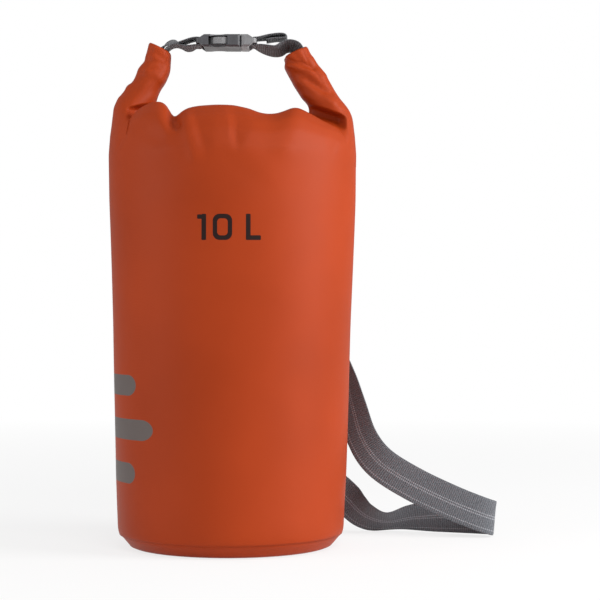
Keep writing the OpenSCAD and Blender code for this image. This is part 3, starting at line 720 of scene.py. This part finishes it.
# points in X and Z, and how far the webbing is turned about its own line there, in degrees
WEB_LEFT = [
    (-66, 404, 0), (-64.4, 410, 0), (-62, 415.4, 0), (-58.4, 420.2, 4), (-53.6, 424.4, 14), (-49, 425.6, 17),
    (-45, 424.9, 6), (-40, 425.4, 0), (-34, 427.4, 0), (-30, 428.1, 0), (-27, 428.1, 0), (-25.2, 427.5, 0),
    (-24.4, 426, 0), (-24.4, 424, 0), (-25.2, 422.5, 0), (-27, 421.9, 0), (-30, 421.9, 0), (-34, 420.6, 4),
    (-38, 420.4, 4), (-42, 421.8, 1), (-46.4, 422.7, 0), (-51, 421.6, 0), (-55, 418.2, 0), (-58, 413.8, 0),
    (-60.2, 409.6, 0), (-61.8, 403.6, 0),
]
WEB_RIGHT = [
    (60.2, 402, 0), (61, 409, 4), (59.6, 415.6, 12), (56, 420.4, 18), (50.8, 422.4, 18), (45.6, 421.6, 18),
    (41.6, 419, 18), (37, 418, 15), (31, 419, 13), (25, 420.6, 8), (20, 421.9, 0), (18.2, 422.5, 0),
    (17.4, 424, 0), (17.4, 426, 0), (18.2, 427.5, 0), (20, 428.1, 0), (24, 428.5, 0), (31, 429.6, -3),
    (39, 430.6, -4), (44.6, 430.7, -3), (47, 429.4, 0), (44.8, 428.1, 0), (38, 427.8, 0), (30, 426.6, 0),
]


def closure_webbing(name, node, body, points):
    """The narrow webbing, that follows points in X and Z and lies across Y, turned about its own line: cos(q) Y +
    sin(q) N, for N square to its line and to Y."""
    flat = catmull(points, 8)
    middle = np.stack([flat[:, 0], 0 * flat[:, 0], flat[:, 1]], axis=1)
    turn = np.radians(flat[:, 2])
    d = unit(np.gradient(middle, axis=0))
    up = np.stack([-d[:, 2], 0 * turn, d[:, 0]], axis=1)
    wide = np.cos(turn)[:, None] * np.array([0.0, 1.0, 0.0]) + np.sin(turn)[:, None] * up
    piece = woven_strip(name, middle, wide, CLOSURE_WIDTH, CLOSURE_THICK, NARROW_WEBBING)
    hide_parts(node)
    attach(piece, body)


closure_webbing("closure_webbing_left", "webbing_left", "bag", WEB_LEFT)
closure_webbing("closure_webbing_right", "webbing_right", "right_arm", WEB_RIGHT)


# ---------------------------------------------------------------- moulded fittings keep their own shapes

def moulded(node, material, bevel):
    """Gives a moulded node its finish, joins its loose triangles' points and softens its edges."""
    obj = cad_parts[node]
    obj.data.materials.clear()
    obj.data.materials.append(material)
    weld = obj.modifiers.new("joined points", "WELD")
    weld.merge_threshold = 1e-6
    edge = obj.modifiers.new("softened edges", "BEVEL")
    edge.width = bevel * MM
    edge.segments = 3
    edge.limit_method = "ANGLE"
    edge.angle_limit = math.radians(32)
    edge.harden_normals = False


moulded("buckle_socket", SOCKET_PLASTIC, 0.8)
for node in ("buckle_plug", "latch_arm_front", "latch_arm_back"):
    moulded(node, PLUG_PLASTIC, 0.4)
for end in ("upper", "lower"):
    for node in ("d_ring", "hook", "hook_gate", "hook_eye"):
        moulded(f"{node}_{end}", FITTING_PLASTIC, 0.3)
moulded("strap_slider", FITTING_PLASTIC, 0.35)


# ---------------------------------------------------------------- anchors and loops on the back

def half_sizes(z):
    """Half width and half depth of the back at a height, straight between the tube's stations."""
    zs = [16, 60, 186, 330]
    return np.interp(z, zs, [95.2, 97.5, 100.5, 104.7]), np.interp(z, zs, [95.0, 92.5, 89.4, 84.8])


def anchor_patch(name, node, a0, a1, z0, z1):
    """A round-cornered welded patch that follows the back: a squared disc of angle and height laid on the back's
    ellipse, its rim sunk to the tube."""
    n = 41
    u, v = np.meshgrid(np.linspace(-1, 1, n), np.linspace(-1, 1, n), indexing="ij")
    ru, rv = u * np.sqrt(1 - 0.18 * v ** 6), v * np.sqrt(1 - 0.18 * u ** 6)
    ang = np.radians((a0 + a1) / 2 + ru * (a1 - a0) / 2)
    z = (z0 + z1) / 2 + rv * (z1 - z0) / 2
    a, b = half_sizes(z)
    edge = np.maximum(np.abs(u), np.abs(v))
    off = 1.5 - 0.45 * step(edge, 0.8, 0.84) + 0.25 * step(edge, 0.9, 0.93) - 0.9 * step(edge, 0.965, 1.0)
    top = np.stack([(a + off) * np.cos(ang), (b + off) * np.sin(ang), z], axis=2)
    low = np.stack([(a - 0.3) * np.cos(ang), (b - 0.3) * np.sin(ang), z], axis=2)
    faces = grid_faces(n, n, False, False)
    there, back = np.arange(1, n), np.arange(n - 2, -1, -1)
    rim = np.concatenate([np.arange(n), there * n + n - 1, (n - 1) * n + back, back[:-1] * n])
    ahead = np.roll(rim, -1)
    walls = np.stack([rim, rim + n * n, ahead + n * n, ahead], axis=1)
    verts = np.concatenate([top.reshape(-1, 3), low.reshape(-1, 3)])
    piece = merged(make_piece(name, verts, np.vstack([faces[:, ::-1], faces + n * n, walls]), PLAIN_FABRIC))
    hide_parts(node)
    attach(piece, "bag")


anchor_patch("anchor_patch_upper_fabric", "anchor_patch_upper", 75, 105, 292, 329)
anchor_patch("anchor_patch_lower_fabric", "anchor_patch_lower", 83, 108, 22, 58)


def fitting_band(name, node, body, points, width, place, lower):
    """A short sewn band drawn hanging down -Z from a ring, points in Y and Z and its width along X, then put at its
    place; a lower one is turned to point along +X."""
    flat = catmull(points, 7)
    middle = np.stack([0 * flat[:, 0], flat[:, 0], flat[:, 1]], axis=1)
    wide = np.tile([1.0, 0.0, 0.0], (len(middle), 1))
    if lower:
        middle = np.stack([-middle[:, 2], middle[:, 1], middle[:, 0]], axis=1)
        wide = np.tile([0.0, 0.0, 1.0], (len(middle), 1))
    webbing = WEBBING if width > CLOSURE_WIDTH else NARROW_WEBBING
    piece = woven_strip(name, middle + np.array(place), wide, width, BAND_THICK, webbing)
    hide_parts(node)
    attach(piece, body)


# the tab round a ring's bar and the strap's sewn end loop round an eye, in Y and Z, in mm
TAB = [
    (-0.9, 27.6), (-0.9, 18), (-0.9, 10), (1.2, 6.2), (2.5, 2.5), (2.5, -0.8), (1.4, -2.2), (0, -2.5), (-1.4, -2.2),
    (-2.5, -0.8), (-2.5, 3), (-2.5, 12), (-2.5, 20), (-2.5, 28),
]
LOOP = [
    (0.85, -46), (0.9, -40), (1.2, -36.4), (2.8, -31.5), (2.9, -28), (2.6, -26.4), (1.2, -25.9), (-1.2, -25.9),
    (-2.6, -26.4), (-2.9, -28), (-2.8, -31.5), (-1.2, -36.4), (-0.9, -40), (-0.85, -46),
]
UPPER_BAR, LOWER_BAR = (0, RING_UP_Y, RING_UP_Z), (RING_LOW_X, RING_LOW_Y, RING_LOW_Z)
UPPER_HOOK, LOWER_HOOK = (0, UP_Y, UP_Z), (LOW_X, RING_LOW_Y, RING_LOW_Z)
fitting_band("anchor_tab_upper_webbing", "anchor_tab_upper", "bag", TAB, TAB_WIDTH, UPPER_BAR, False)
fitting_band("anchor_tab_lower_webbing", "anchor_tab_lower", "bag", TAB, TAB_WIDTH, LOWER_BAR, True)
fitting_band("strap_loop_upper_webbing", "strap_loop_upper", "eye_upper", LOOP, STRAP_WIDTH, UPPER_HOOK, False)
fitting_band("strap_loop_lower_webbing", "strap_loop_lower", "eye_lower", LOOP, STRAP_WIDTH, LOWER_HOOK, True)


# ---------------------------------------------------------------- floor and light

def pale_floor():
    """A white floor, a disc of 12 m radius: x = r cos(w), y = r sin(w). It is part white to the camera, and wholly
    so further out, and keeps the bag's shadow."""
    round_count = 96
    w = np.linspace(0, 2 * np.pi, round_count, endpoint=False)
    r = np.array([0, 0.5, 2.0, 12.0])[:, None]
    grid = np.stack([r * np.cos(w), r * np.sin(w), -0.0004 + 0 * r * w], axis=2)
    f = Finish("white paper floor", "#F4F4F4", 0.9)
    f.shader.inputs["Specular IOR Level"].default_value = 0.1
    glow = f.node("ShaderNodeEmission")
    glow.inputs["Color"].default_value = (1, 1, 1, 1)
    glow.inputs["Strength"].default_value = 1.0
    rays = f.node("ShaderNodeLightPath")
    seen = f.maths("MAXIMUM", rays.outputs["Is Camera Ray"], rays.outputs["Is Glossy Ray"])
    px, py, _ = f.parts(f.place())
    far = f.maths("SQRT", f.maths("ADD", f.maths("MULTIPLY", px, px), f.maths("MULTIPLY", py, py)))
    both = f.node("ShaderNodeMixShader")
    f.feed(both.inputs[0], f.maths("MULTIPLY", seen, f.spread(far, 0.45, 1.6, 0.76, 1.0)))
    f.feed(both.inputs[1], f.shader.outputs[0])
    f.feed(both.inputs[2], glow.outputs[0])
    f.feed(f.tree.nodes["Material Output"].inputs["Surface"], both.outputs[0])
    floor = merged(make_piece("pale_floor", grid / MM, grid_faces(len(r), round_count, False, True), f.material))


def soft_lamp(name, place, aim, size, watts):
    """A square soft box at a place, turned to its aim."""
    data = bpy.data.lights.new(name, "AREA")
    data.shape = "SQUARE"
    data.size = size
    data.energy = watts
    lamp = bpy.data.objects.new(name, data)
    bpy.context.scene.collection.objects.link(lamp)
    lamp.location = place
    lamp.rotation_euler = (Vector(aim) - Vector(place)).to_track_quat("-Z", "Y").to_euler()


def white_air(level):
    """A white world: it lights the bag at the given level, and is full white to the camera."""
    world = bpy.data.worlds.new("studio_air")
    world.use_nodes = True
    tree = world.node_tree
    air = tree.nodes["Background"]
    air.inputs["Color"].default_value = (1, 1, 1, 1)
    rays = tree.nodes.new("ShaderNodeLightPath")
    strength = tree.nodes.new("ShaderNodeMapRange")
    tree.links.new(rays.outputs["Is Camera Ray"], strength.inputs[0])
    strength.inputs["To Min"].default_value = level
    strength.inputs["To Max"].default_value = 1.0
    tree.links.new(strength.outputs[0], air.inputs["Strength"])
    bpy.context.scene.world = world


pale_floor()
soft_lamp("key_right", (1.5, -0.45, 0.8), (0, 0, 0.22), 0.8, 25)
soft_lamp("fill_left", (-1.5, -0.7, 0.7), (0, 0, 0.22), 0.8, 7)
soft_lamp("top_front", (0.5, -1.4, 1.6), (0, 0, 0.25), 1.0, 11)
white_air(0.42)
bpy.context.scene.view_settings.view_transform = "Standard"
